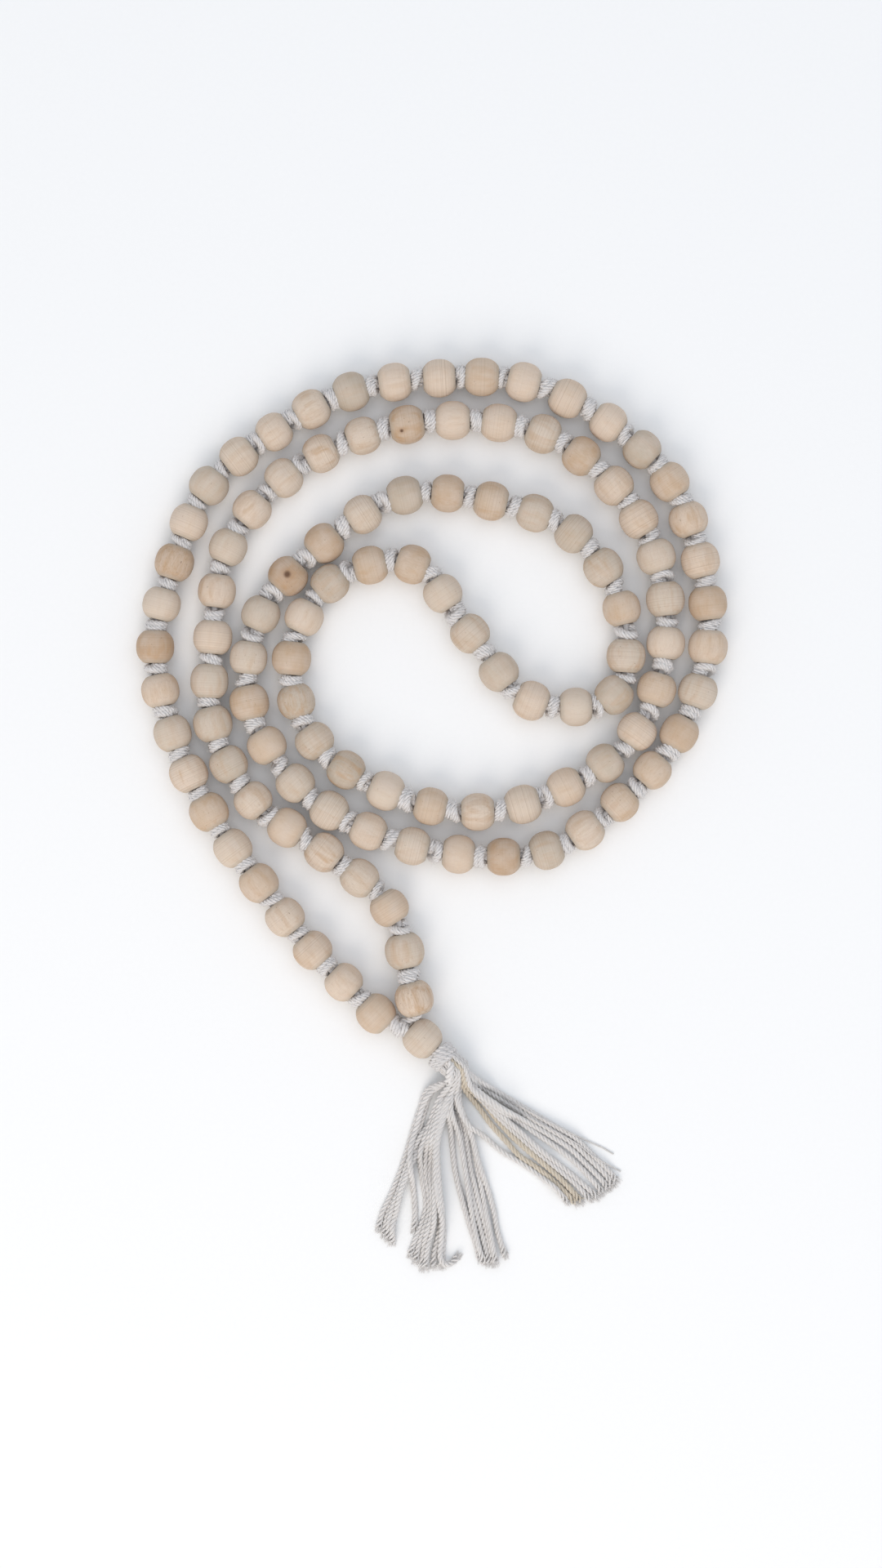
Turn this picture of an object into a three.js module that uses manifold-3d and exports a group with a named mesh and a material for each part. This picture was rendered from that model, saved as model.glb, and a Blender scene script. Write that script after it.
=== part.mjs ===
// Mala prayer beads: 107 turned wooden beads and a guru bead on one white cord, knotted beside every bead, with a
// tassel of loose cords. It lies on a table (z = 0) in a flat spiral that never crosses itself. Millimetres, +Z up.
//
// The strand is cut into rigid bodies at fold lines: horizontal lines through the knots of one or two strands. Between
// the folds, evenly spread beads are loose on the cord and can spin. The others are one solid with the cord run and
// its knots.
import * as THREE from "three";
import { mergeVertices } from "three/addons/utils/BufferGeometryUtils.js";
import Module from "manifold-3d";

const wasm = await Module();
wasm.setup();

// ---- driving dimensions ----
const BEAD_WIDTH = 10; // across a bead's middle; the laid strand grows with it
const CORD_WIDTH = 1.8;
const KNOT_WIDTH = 5.6;
const TASSEL_KNOT_WIDTH = 7.6;
const TASSEL_LENGTH = 54; // from the tassel knot to the ends of the longest cords
const CLEARANCE = 0.3; // between two pieces that touch on the real strand
const FOLD_GAP = 0.8; // open cord at a fold line, so that the two sides can turn

// ---- proportions ----
const SIZE = BEAD_WIDTH / 10; // the route below is drawn for a 10 mm bead
const BEAD_LENGTH = 0.92 * BEAD_WIDTH; // between the two flat drilled ends
const BEAD_END_RADIUS = 0.27 * BEAD_WIDTH;
const BEAD_BAND = 0.2 * BEAD_WIDTH; // half the straight band round a bead's middle
const BORE_RADIUS = CORD_WIDTH / 2 + 0.35;
const SLEEVE_RADIUS = CORD_WIDTH / 2 + 0.1; // what is left of a knot at the mouth of a bore
const KNOT_END_RADIUS = 0.165 * BEAD_WIDTH; // about where it meets a bead's mouth
const STUB = 0.06 * BEAD_WIDTH; // how far the cord runs straight on past a bead's end
const SINK = 0.03 * BEAD_WIDTH; // how far a knot reaches into a bead that is fused to it
const REST_HEIGHT = BEAD_WIDTH / 2;
const LOOSE_SIDES = 12; // a loose bead has a flat below it in steps of 30 degrees
const FUSED_SIDES = 8;
const CORD_SIDES = 6;
const KNOT_SIDES = 6;
const WELD = 1e-4;

// ---- the laid strand ----
// One point at every second bead's centre, from the bead left of the guru bead, up the left side and round the spiral
// to its centre, then back out beside itself to the bead right of the guru bead.
const ROUTE = [
  [-14.5, -51.5], [-31, -35], [-45, -17.5], [-58, 1], [-67.5, 21.5], [-72, 44], [-67, 66], [-58, 86],
  [-41, 100], [-21, 110.5], [2, 114], [24, 113], [46, 102.5], [62, 87], [70, 66.5], [72, 44],
  [64.5, 21.5], [49, 3.5], [30, -9], [7, -10], [-16.5, -4], [-35.5, 8.5], [-47.5, 29.5], [-44.5, 52.5],
  [-28, 71], [-7, 83.5], [15.5, 82], [37, 73.5], [49.5, 54], [47.5, 31.5], [26, 30], [10, 47.5],
  [-5, 65.5], [-26.5, 60.5], [-36.5, 41], [-30.5, 19.5], [-12, 6.5], [12, 1], [35, 7.5], [53.5, 22],
  [61, 45], [58.5, 67.5], [47.5, 86], [29, 99.5], [5.5, 103], [-18, 99], [-38.5, 88], [-53, 70],
  [-57, 46.5], [-57, 24], [-46.5, 4], [-28, -9.5], [-11, -24], [-4.5, -47.5],
];
const BEAD_COUNT = 2 * ROUTE.length - 1;
const LAST_BEAD_LIFT = 1.5; // the last bead rests on the knot below it
const GURU = [-2.4, -58];
const GURU_HEADING = [0.74, -0.67]; // from the strand towards the tassel
const JOIN = [-7.9, -54]; // where both ends of the strand meet above the guru bead

// Beads that are loose on the cord, by number along the strand.
const LOOSE = [
  4, 7, 9, 12, 15, 17, 20, 23, 25, 28, 31, 33, 36, 39, 41, 44, 47, 49, 52, 55,
  57, 62, 64, 66, 68, 70, 73, 76, 79, 81, 84, 87, 89, 92, 95, 97, 100, 103, 104,
];

// The rigid bodies between the fold lines, with the first and last bead of each cord run in them. Two runs that share
// a bead meet inside its bore, and the others end at a fold line.
const BODIES = {
  coil: {
    coil_cord_1: [6, 13],
    coil_cord_2: [27, 39],
    coil_cord_3: [39, 49],
    coil_cord_4: [49, 58],
    coil_cord_5: [65, 73],
    coil_cord_6: [73, 84],
    coil_cord_7: [84, 95],
    coil_cord_8: [95, 103],
  },
  outer_arc: { outer_arc_cord: [14, 26] },
  centre_bight: { centre_bight_cord: [59, 64] },
  tail_upper: { tail_upper_left_cord: [4, 5], tail_upper_right_cord: [104, 105] },
  tail_middle: { tail_middle_left_cord: [2, 3], tail_middle_right_cord: [106, 106] },
};

// ---- solids from closed geometries ----
const UP = new THREE.Vector3(0, 0, 1);
const flat = ([x, y], z = REST_HEIGHT) => new THREE.Vector3(x * SIZE, y * SIZE, z);

function solid(geometry, matrix = new THREE.Matrix4()) {
  const moved = geometry.clone().applyMatrix4(matrix);
  moved.deleteAttribute("normal");
  moved.deleteAttribute("uv");
  const { index, attributes } = mergeVertices(moved, WELD);
  const corners = [];
  for (let i = 0; i < index.count; i += 3) {
    const [a, b, c] = index.array.slice(i, i + 3);
    if (a !== b && b !== c && c !== a) corners.push(a, b, c);
  }
  const vertProperties = new Float32Array(attributes.position.array);
  return new wasm.Manifold(new wasm.Mesh({ numProp: 3, vertProperties, triVerts: new Uint32Array(corners) }));
}

const joined = (pieces) => pieces.reduce((whole, piece) => whole.add(piece));

// Frame at a point, with local Y along the heading and local Z up.
function placed(point, heading) {
  const side = new THREE.Vector3().crossVectors(heading, UP).normalize();
  const top = new THREE.Vector3().crossVectors(side, heading);
  return new THREE.Matrix4().makeBasis(side, heading, top).setPosition(point);
}

// Lathe about local Y with a flat facing down. The profile's radii are to the middle of the flats.
function turned(profile, sides) {
  const points = profile.map(([r, y]) => new THREE.Vector2(r / Math.cos(Math.PI / sides), y));
  return new THREE.LatheGeometry(points, sides, Math.PI / sides, 2 * Math.PI);
}

// ---- beads ----
// Half of a bead's outline: the rim of its flat end, then the band round its middle.
const outline = (grow = 0) => [
  [BEAD_END_RADIUS + grow / 2, BEAD_LENGTH / 2 + grow],
  [BEAD_WIDTH / 2 + grow, BEAD_BAND + grow / 2],
];
const bothEnds = (half) => [...half.map(([r, y]) => [r, -y]), ...[...half].reverse()];

function boredBead(sides, boreRadius, grow = 0) {
  const skin = bothEnds(outline(grow));
  const end = skin[skin.length - 1][1];
  return turned([[boreRadius, -end], ...skin, [boreRadius, end], [boreRadius, -end]], sides);
}

function wholeBead(sides) {
  return turned([[0, -BEAD_LENGTH / 2], ...bothEnds(outline()), [0, BEAD_LENGTH / 2]], sides);
}

const looseBead = boredBead(LOOSE_SIDES, BORE_RADIUS);
const looseBeadRoom = boredBead(FUSED_SIDES, SLEEVE_RADIUS, CLEARANCE);
const fusedBead = wholeBead(FUSED_SIDES);

const route = new THREE.CatmullRomCurve3(ROUTE.map((p) => flat(p)), false, "centripetal");
const BEADS = Array.from({ length: BEAD_COUNT }, (_, i) => {
  const u = i / (BEAD_COUNT - 1);
  const centre = route.getPoint(u);
  if (i === BEAD_COUNT - 1) centre.z += LAST_BEAD_LIFT;
  return { number: i + 1, centre, heading: route.getTangent(u), loose: LOOSE.includes(i + 1) };
});
const guru = { centre: flat(GURU), heading: new THREE.Vector3(...GURU_HEADING, 0).normalize() };

// ---- cord and knots ----
function between(a, b, profile, sides) {
  const heading = b.clone().sub(a).normalize();
  return solid(turned(profile, sides), placed(a.clone().lerp(b, 0.5), heading));
}

function cord(a, b) {
  const half = a.distanceTo(b) / 2;
  return between(a, b, [[0, -half], [CORD_WIDTH / 2, -half], [CORD_WIDTH / 2, half], [0, half]], CORD_SIDES);
}

function knot(a, b, width = KNOT_WIDTH) {
  const half = a.distanceTo(b) / 2;
  const profile = [[0, -half], [KNOT_END_RADIUS, -half], [width / 2, 0], [KNOT_END_RADIUS, half], [0, half]];
  return between(a, b, profile, KNOT_SIDES);
}

// The straight cord in a bead's bore, between two places along it.
const along = (bead, place) => bead.centre.clone().addScaledVector(bead.heading, place);
const through = (bead, from, to) => cord(along(bead, from), along(bead, to));

// How far from a bead's centre the knot beside it starts: sunk into a fused bead, and clear of a loose one by more
// where the knot leans.
function knotStart(bead, other) {
  if (!bead.loose) return BEAD_LENGTH / 2 - SINK;
  const away = other.centre.clone().sub(bead.centre).normalize();
  const lean = Math.acos(Math.min(1, Math.abs(away.dot(bead.heading))));
  return BEAD_LENGTH / 2 + CLEARANCE + 1.5 * KNOT_END_RADIUS * Math.sin(lean);
}

// How far from a bead's centre its cord ends at a fold line, half a fold gap short of the middle.
const foldEnd = (bead, other) =>
  bead.centre.distanceTo(other.centre) / 2 - FOLD_GAP / 2;

const runs = Object.values(BODIES).flatMap((body) => Object.values(body));
const sharedBeads = LOOSE.filter((n) => runs.some(([first]) => first === n) && runs.some(([, last]) => last === n));

function cordRun([first, last]) {
  const pieces = [];
  for (let n = first; n <= last; n++) {
    const [before, bead, after] = [BEADS[n - 2], BEADS[n - 1], BEADS[n]];
    let back = n === first ? foldEnd(bead, before) : knotStart(bead, before) + SINK;
    let front = n === last ? foldEnd(bead, after) : knotStart(bead, after) + SINK;
    if (n === first && sharedBeads.includes(n)) back = -CLEARANCE / 2;
    if (n === last && sharedBeads.includes(n)) front = -CLEARANCE / 2;
    if (bead.loose || n === first || n === last) pieces.push(through(bead, -back, front));
    if (!bead.loose) pieces.push(solid(fusedBead, placed(bead.centre, bead.heading)));
    if (n < last) pieces.push(knot(along(bead, knotStart(bead, after)), along(after, -knotStart(after, bead))));
  }
  return joined(pieces);
}

// The last beads of both strands, the knot that joins them, and the doubled cord through the guru bead.
const HINGE_REACH = BEAD_LENGTH / 2 + 0.7; // from the guru bead's centre to the tassel's hinge line
function guruRun() {
  const first = BEADS[0];
  const last = BEADS[BEAD_COUNT - 1];
  const mouth = along(guru, -BEAD_LENGTH / 2 - CLEARANCE);
  return joined([
    solid(fusedBead, placed(first.centre, first.heading)),
    solid(fusedBead, placed(last.centre, last.heading)),
    through(first, 0, foldEnd(first, BEADS[1])),
    through(last, -foldEnd(last, BEADS[BEAD_COUNT - 2]), 0),
    knot(along(first, SINK - BEAD_LENGTH / 2), mouth),
    cord(along(last, BEAD_LENGTH / 2 - SINK), flat(JOIN)),
    cord(flat(JOIN), mouth),
    through(guru, -BEAD_LENGTH / 2 - STUB, HINGE_REACH - FOLD_GAP / 2),
  ]).subtract(solid(looseBeadRoom, placed(guru.centre, guru.heading)));
}

// ---- tassel ----
const KNOT_START = HINGE_REACH + 0.6;
const KNOT_LENGTH = 0.62 * TASSEL_KNOT_WIDTH;
const tasselKnot = () => {
  const r = TASSEL_KNOT_WIDTH / 2;
  const profile = [
    [0, 0], [0.52 * r, 0], [r, 0.3 * KNOT_LENGTH], [0.95 * r, 0.75 * KNOT_LENGTH], [0.8 * r, KNOT_LENGTH],
    [0, KNOT_LENGTH],
  ];
  const foot = guru.centre.clone().addScaledVector(guru.heading, KNOT_START);
  return solid(turned(profile, FUSED_SIDES), placed(foot, guru.heading));
};

// Bundles of tassel cords, each a flat sheath that drops from the knot to the table and spreads. Sections after the
// root: position from the end of the knot, height of the middle, width and thickness, all but the position in mm.
const BUNDLE_ROOTS = { width: 1.5, thickness: 5, spacing: 1.9 };
const REACH = TASSEL_LENGTH / 52; // the sections are drawn for 52 mm
const BUNDLES = {
  tassel_left_cords: [[-4.2, -4.5, 3.2, 2.2, 4.2], [-9.5, -18.5, 1.6, 4.2, 2.8], [-17, -44, 1.3, 5, 2.4]],
  tassel_middle_cords: [[-1.6, -6, 3.2, 2, 4.2], [-4.2, -21, 1.6, 4, 2.8], [-4.4, -51.5, 1.3, 10, 2.4]],
  tassel_centre_cords: [[1.1, -6.2, 3.2, 2, 4.2], [3.2, -19, 1.6, 3.6, 2.8], [10.4, -51, 1.3, 7.5, 2.4]],
  tassel_right_cords: [[4.8, -4.2, 3.2, 2.4, 4.2], [16, -12.5, 1.6, 6.5, 2.8], [39, -33, 1.3, 9, 2.4]],
};

function bundle(sections, order) {
  const across = new THREE.Vector3().crossVectors(UP, guru.heading);
  const end = guru.centre.clone().addScaledVector(guru.heading, KNOT_START + KNOT_LENGTH);
  const root = end
    .clone()
    .addScaledVector(guru.heading, CLEARANCE)
    .addScaledVector(across, (order - 1.5) * BUNDLE_ROOTS.spacing);
  const stations = [
    { middle: root, width: BUNDLE_ROOTS.width, thickness: BUNDLE_ROOTS.thickness, heading: guru.heading },
    ...sections.map(([x, y, z, width, thickness]) => ({
      middle: new THREE.Vector3(end.x + x * REACH, end.y + y * REACH, z),
      width,
      thickness,
    })),
  ];
  stations.forEach((station, k) => {
    const ahead = stations[Math.min(k + 1, stations.length - 1)].middle;
    station.heading ??= ahead.clone().sub(stations[k - 1].middle).setZ(0).normalize();
  });
  // a box of one cell across and one step along for each pair of stations, its corners moved to the stations
  const box = new THREE.BoxGeometry(1, 1, 1, 1, 1, stations.length - 1);
  const corner = new THREE.Vector3();
  for (let i = 0; i < box.attributes.position.count; i++) {
    corner.fromBufferAttribute(box.attributes.position, i);
    const at = stations[Math.round((corner.z + 0.5) * (stations.length - 1))];
    const side = new THREE.Vector3().crossVectors(UP, at.heading);
    const moved = at.middle
      .clone()
      .addScaledVector(side, corner.x * at.width)
      .addScaledVector(UP, corner.y * at.thickness);
    box.attributes.position.setXYZ(i, ...moved);
  }
  return solid(box);
}

// ---- assembly ----
const WOOD = { color: 0xd8c3aa, roughness: 0.75, metalness: 0 };
const WHITE_CORD = { color: 0xe9e6e2, roughness: 0.9, metalness: 0 };

const mesh = (name, geometry, look) =>
  Object.assign(new THREE.Mesh(geometry, new THREE.MeshStandardMaterial(look)), { name });

function fromSolid(name, body, look) {
  const { vertProperties, triVerts } = body.getMesh();
  const geometry = new THREE.BufferGeometry();
  geometry.setAttribute("position", new THREE.BufferAttribute(new Float32Array(vertProperties), 3));
  geometry.setIndex([...triVerts]);
  geometry.computeVertexNormals();
  return mesh(name, geometry, look);
}

function threaded(name, { centre, heading }) {
  const bead = mesh(name, looseBead, WOOD);
  bead.applyMatrix4(placed(centre, heading));
  return bead;
}

// A group for each body, nested in the order that they are lifted from the coil.
function group(name, parent) {
  const body = new THREE.Group();
  body.name = name;
  parent?.add(body);
  return body;
}
const mala = group("mala_prayer_beads");
const coil = group("coil", mala);
const tailUpper = group("tail_upper", coil);
const tailMiddle = group("tail_middle", tailUpper);
const tailLower = group("tail_lower", tailMiddle);
const tassel = group("tassel", tailLower);
const groups = {
  coil,
  outer_arc: group("outer_arc", coil),
  centre_bight: group("centre_bight", coil),
  tail_upper: tailUpper,
  tail_middle: tailMiddle,
};

for (const [body, cords] of Object.entries(BODIES)) {
  for (const [name, [first, last]] of Object.entries(cords)) {
    groups[body].add(fromSolid(name, cordRun([first, last]), WOOD));
    for (const number of LOOSE) {
      if (number < first || number > last || (number === first && sharedBeads.includes(number))) continue;
      groups[body].add(threaded(`bead_${String(number).padStart(3, "0")}`, BEADS[number - 1]));
    }
  }
}
tailLower.add(fromSolid("tail_lower_cord", guruRun(), WOOD), threaded("guru_bead", guru));
tassel.add(fromSolid("tassel_knot", tasselKnot(), WHITE_CORD));
Object.entries(BUNDLES).forEach(([name, sections], order) =>
  tassel.add(fromSolid(name, bundle(sections, order), WHITE_CORD)),
);

export default mala;
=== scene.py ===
# %% [markdown]
# # Mala prayer beads
# A mala is a loop of 108 small beads, used to count a mantra. This one has raw wooden beads on a white cord that is
# knotted beside every bead. The two ends of the loop meet in the guru bead and end in a tassel of loose cords.
#
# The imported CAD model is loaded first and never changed. It says where every piece is and what moves with what, so
# each step below makes one kind of piece at its CAD place: the tassel cords, the strand, the knots, then the beads.

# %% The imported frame
import math
import random

import bpy
import numpy as np
from mathutils import Matrix, Vector


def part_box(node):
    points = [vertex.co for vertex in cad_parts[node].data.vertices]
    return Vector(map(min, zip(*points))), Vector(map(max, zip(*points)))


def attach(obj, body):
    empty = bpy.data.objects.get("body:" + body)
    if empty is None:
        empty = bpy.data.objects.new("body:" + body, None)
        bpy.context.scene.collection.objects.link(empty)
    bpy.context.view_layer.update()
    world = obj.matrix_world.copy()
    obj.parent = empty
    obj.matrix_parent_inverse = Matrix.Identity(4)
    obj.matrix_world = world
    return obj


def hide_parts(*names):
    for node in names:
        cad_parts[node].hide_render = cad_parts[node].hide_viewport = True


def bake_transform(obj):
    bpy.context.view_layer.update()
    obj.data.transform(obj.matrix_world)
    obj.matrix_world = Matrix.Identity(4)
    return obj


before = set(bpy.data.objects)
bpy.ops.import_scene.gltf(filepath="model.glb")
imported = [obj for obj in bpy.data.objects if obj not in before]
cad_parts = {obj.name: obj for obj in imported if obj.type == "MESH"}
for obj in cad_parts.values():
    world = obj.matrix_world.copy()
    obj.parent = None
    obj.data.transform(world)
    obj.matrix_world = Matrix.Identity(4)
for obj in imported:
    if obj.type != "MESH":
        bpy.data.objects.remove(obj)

MM = 0.001
UP = Vector((0, 0, 1))
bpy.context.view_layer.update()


# %% [markdown]
# ## Camera
# The mala lies flat and is looked at from straight above. A long lens from well above keeps the beads round out to
# the edge of the picture, as a short one would show their sides there. The lens follows from the height of table
# that the picture takes in.

# %% Camera straight above the table
VIEW_MIDDLE = (2.45 * MM, 8.30 * MM)
VIEW_HEIGHT = 408.5 * MM  # of the picture, at the height of the beads' middles
CAMERA_HEIGHT = 700 * MM
BEAD_LEVEL = 5 * MM
SENSOR = 36.0

camera_data = bpy.data.cameras.new("camera")
camera_data.sensor_fit = "VERTICAL"
camera_data.sensor_height = SENSOR
camera_data.lens = SENSOR * (CAMERA_HEIGHT - BEAD_LEVEL) / VIEW_HEIGHT
camera_data.clip_start = 0.01
camera = bpy.data.objects.new("camera", camera_data)
camera.location = (*VIEW_MIDDLE, CAMERA_HEIGHT)
bpy.context.collection.objects.link(camera)
bpy.context.scene.camera = camera
print("lens:", round(camera_data.lens, 1), "mm")


# %% [markdown]
# ## Where the strand lies
# The CAD gives a point at every second bead's centre, and the beads sit on a smooth curve through them. The curve
# is a centripetal Catmull-Rom spline, which is the one the CAD uses, so that both give the same 107 places.

# %% The route of the strand
ROUTE_MM = [
    (-14.5, -51.5), (-31, -35), (-45, -17.5), (-58, 1), (-67.5, 21.5), (-72, 44), (-67, 66), (-58, 86),
    (-41, 100), (-21, 110.5), (2, 114), (24, 113), (46, 102.5), (62, 87), (70, 66.5), (72, 44),
    (64.5, 21.5), (49, 3.5), (30, -9), (7, -10), (-16.5, -4), (-35.5, 8.5), (-47.5, 29.5), (-44.5, 52.5),
    (-28, 71), (-7, 83.5), (15.5, 82), (37, 73.5), (49.5, 54), (47.5, 31.5), (26, 30), (10, 47.5),
    (-5, 65.5), (-26.5, 60.5), (-36.5, 41), (-30.5, 19.5), (-12, 6.5), (12, 1), (35, 7.5), (53.5, 22),
    (61, 45), (58.5, 67.5), (47.5, 86), (29, 99.5), (5.5, 103), (-18, 99), (-38.5, 88), (-53, 70),
    (-57, 46.5), (-57, 24), (-46.5, 4), (-28, -9.5), (-11, -24), (-4.5, -47.5),
]
ROUTE = [Vector((x, y, 5)) * MM for x, y in ROUTE_MM]


def on_curve(points, t):
    """The place at t, from 0 to 1, on a smooth curve through the points."""
    place = t * (len(points) - 1)
    i = min(int(place), len(points) - 2)
    w = place - i
    p1, p2 = points[i], points[i + 1]
    p0 = points[i - 1] if i > 0 else 2 * points[0] - points[1]
    p3 = points[i + 2] if i + 2 < len(points) else 2 * points[-1] - points[-2]
    d0, d1, d2 = (math.sqrt((b - a).length) for a, b in ((p0, p1), (p1, p2), (p2, p3)))
    leave = ((p1 - p0) / d0 - (p2 - p0) / (d0 + d1) + (p2 - p1) / d1) * d1
    arrive = ((p2 - p1) / d1 - (p3 - p1) / (d1 + d2) + (p3 - p2) / d2) * d1
    return (
        p1
        + leave * w
        + (3 * (p2 - p1) - 2 * leave - arrive) * w**2
        + (2 * (p1 - p2) + leave + arrive) * w**3
    )


BEAD_COUNT = 2 * len(ROUTE) - 1
LAST_BEAD_LIFT = 1.5 * MM  # the last bead rests on the knot below it
TINY = 0.0001
centres, headings = {}, {}
for number in range(1, BEAD_COUNT + 1):
    t = (number - 1) / (BEAD_COUNT - 1)
    centres[number] = on_curve(ROUTE, t)
    ahead, behind = on_curve(ROUTE, min(t + TINY, 1)), on_curve(ROUTE, max(t - TINY, 0))
    headings[number] = (ahead - behind).normalized()
centres[BEAD_COUNT].z += LAST_BEAD_LIFT

LOOSE = sorted(int(name[5:]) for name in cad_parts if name.startswith("bead_"))
off = max((sum(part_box(f"bead_{n:03d}"), Vector()) / 2 - centres[n]).length for n in LOOSE)
print(BEAD_COUNT, "beads on the strand,", len(LOOSE), "loose; furthest from the CAD:", round(off / MM, 3), "mm")


# %% [markdown]
# ## Three-ply cord
# The cord is three plies twisted together, and every knot and tassel cord shows the slanting plies. It could be a
# smooth tube with stripes, but the grooves would be missing from its outline. So each ply is a thin tube of its
# own that winds round the cord's line. A curve object makes such tubes: one spline for each ply, rounded by a
# bevel, with a radius at every point, so that the plies can also spread and thin out at a cut end.

# %% Frames along a line
FINE_STEPS = 400  # a smooth curve is measured along this many short steps


def evenly_spaced(points, step):
    """The smooth curve through the points as a line with steps of about that length."""
    fine = [on_curve(points, k / FINE_STEPS) for k in range(FINE_STEPS + 1)]
    reached = np.concatenate([[0], np.cumsum([(b - a).length for a, b in zip(fine, fine[1:])])])
    count = max(4, round(reached[-1] / step))
    xyz = np.array(fine)
    even = np.linspace(0, reached[-1], count + 1)
    return [Vector(p) for p in np.stack([np.interp(even, reached, xyz[:, k]) for k in range(3)], 1)]


def length_of(line):
    """The length of a line of points."""
    return sum((b - a).length for a, b in zip(line, line[1:]))


def sideways(line):
    """Two directions across the line at each of its points, carried along it without twisting."""
    ahead = [(b - a).normalized() for a, b in zip([line[0], *line[:-1]], [*line[1:], line[-1]])]
    ahead[0] = (line[1] - line[0]).normalized()
    ahead[-1] = (line[-1] - line[-2]).normalized()
    side = ahead[0].orthogonal().normalized()
    pairs = []
    for direction in ahead:
        side = (side - side.dot(direction) * direction).normalized()
        pairs.append((side, direction.cross(side)))
    return pairs


# %% Twisted cord
TWIST = 4.2 * MM  # the length of cord for one full turn of the plies
PLIES = 3
PRESSED = 1.04  # plies press into each other a little, so they are drawn this much thicker


def twisted_cord(name, line, width, twist=TWIST, turn=0.0, swell=None, sides=6, plies=PLIES):
    """A curve of plies that wind round the line. swell gives a ply's size and its distance out at each point."""
    curve = bpy.data.curves.new(name, "CURVE")
    curve.dimensions = "3D"
    closeness = math.sin(math.pi / plies)  # plies that touch are this thick for their distance from the line
    out_from_line = 0.5 * width / (1 + closeness)
    curve.bevel_depth = PRESSED * closeness * out_from_line
    curve.bevel_resolution = (sides - 4) // 2
    curve.use_fill_caps = True
    pairs = sideways(line)
    travelled = 0.0
    angles = [turn]
    for a, b in zip(line, line[1:]):
        travelled += (b - a).length
        angles.append(turn + 2 * math.pi * travelled / twist)
    for ply in range(plies):
        spline = curve.splines.new("POLY")
        spline.points.add(len(line) - 1)
        for i, point in enumerate(spline.points):
            size, out = swell(i, len(line)) if swell else (1, 1)
            angle = angles[i] + 2 * math.pi * ply / plies
            across, over = pairs[i]
            place = line[i] + (across * math.cos(angle) + over * math.sin(angle)) * out_from_line * out
            if swell:  # it lies on the table
                place.z = max(place.z, size * curve.bevel_depth)
            point.co = (*place, 1)
            point.radius = size
    made = bpy.data.objects.new(name, curve)
    bpy.context.collection.objects.link(made)
    return made


# %% From curves to meshes
def only(*objects):
    """Selects these objects and nothing else, with the last one active."""
    bpy.ops.object.select_all(action="DESELECT")
    for o in objects:
        o.select_set(True)
    bpy.context.view_layer.objects.active = objects[-1]


def to_mesh(*curves):
    """Makes the curves meshes, with their UV map in millimetres: x round each ply and y along it."""
    sizes = []
    for o in curves:
        spline = o.data.splines[0]
        line = [point.co.to_3d() for point in spline.points]
        sizes.append((2 * math.pi * o.data.bevel_depth / MM, length_of(line) / MM))
    only(*curves)
    bpy.ops.object.convert(target="MESH")
    for o, size in zip(curves, sizes):
        uv = np.zeros(2 * len(o.data.loops))
        o.data.uv_layers[0].data.foreach_get("uv", uv)
        o.data.uv_layers[0].data.foreach_set("uv", (uv.reshape(-1, 2) * size).ravel())
    bpy.ops.object.shade_smooth()
    return curves


def joined(name, parts):
    """Joins the parts to one object with that name."""
    only(*parts)
    if len(parts) > 1:
        bpy.ops.object.join()
    made = bpy.context.view_layer.objects.active
    made.name = made.data.name = name
    return made


# %% [markdown]
# ## Tassel cords
# The tassel is 27 ends of the same cord, about 54 mm long, that fan out from the tassel knot in four groups. They
# are stiff enough to keep their slow bends and limp enough to lie on the table. Each one is drawn by its points on
# the table, and its height is worked out: a cord lies on the table or over the cords that were laid before it.
# The groups could be combed in even rows, but real ends cross each other, so every cord has its own points.

# %% Cord ends, drawn from above in millimetres
GURU = Vector((-2.4, -58, 5)) * MM
GURU_HEADING = Vector((0.74, -0.67, 0)).normalized()
ACROSS = UP.cross(GURU_HEADING)
KNOT_FOOT = GURU + GURU_HEADING * 5.9 * MM
KNOT_LENGTH = 4.71 * MM
KNOT_END = KNOT_FOOT + GURU_HEADING * KNOT_LENGTH

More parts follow.
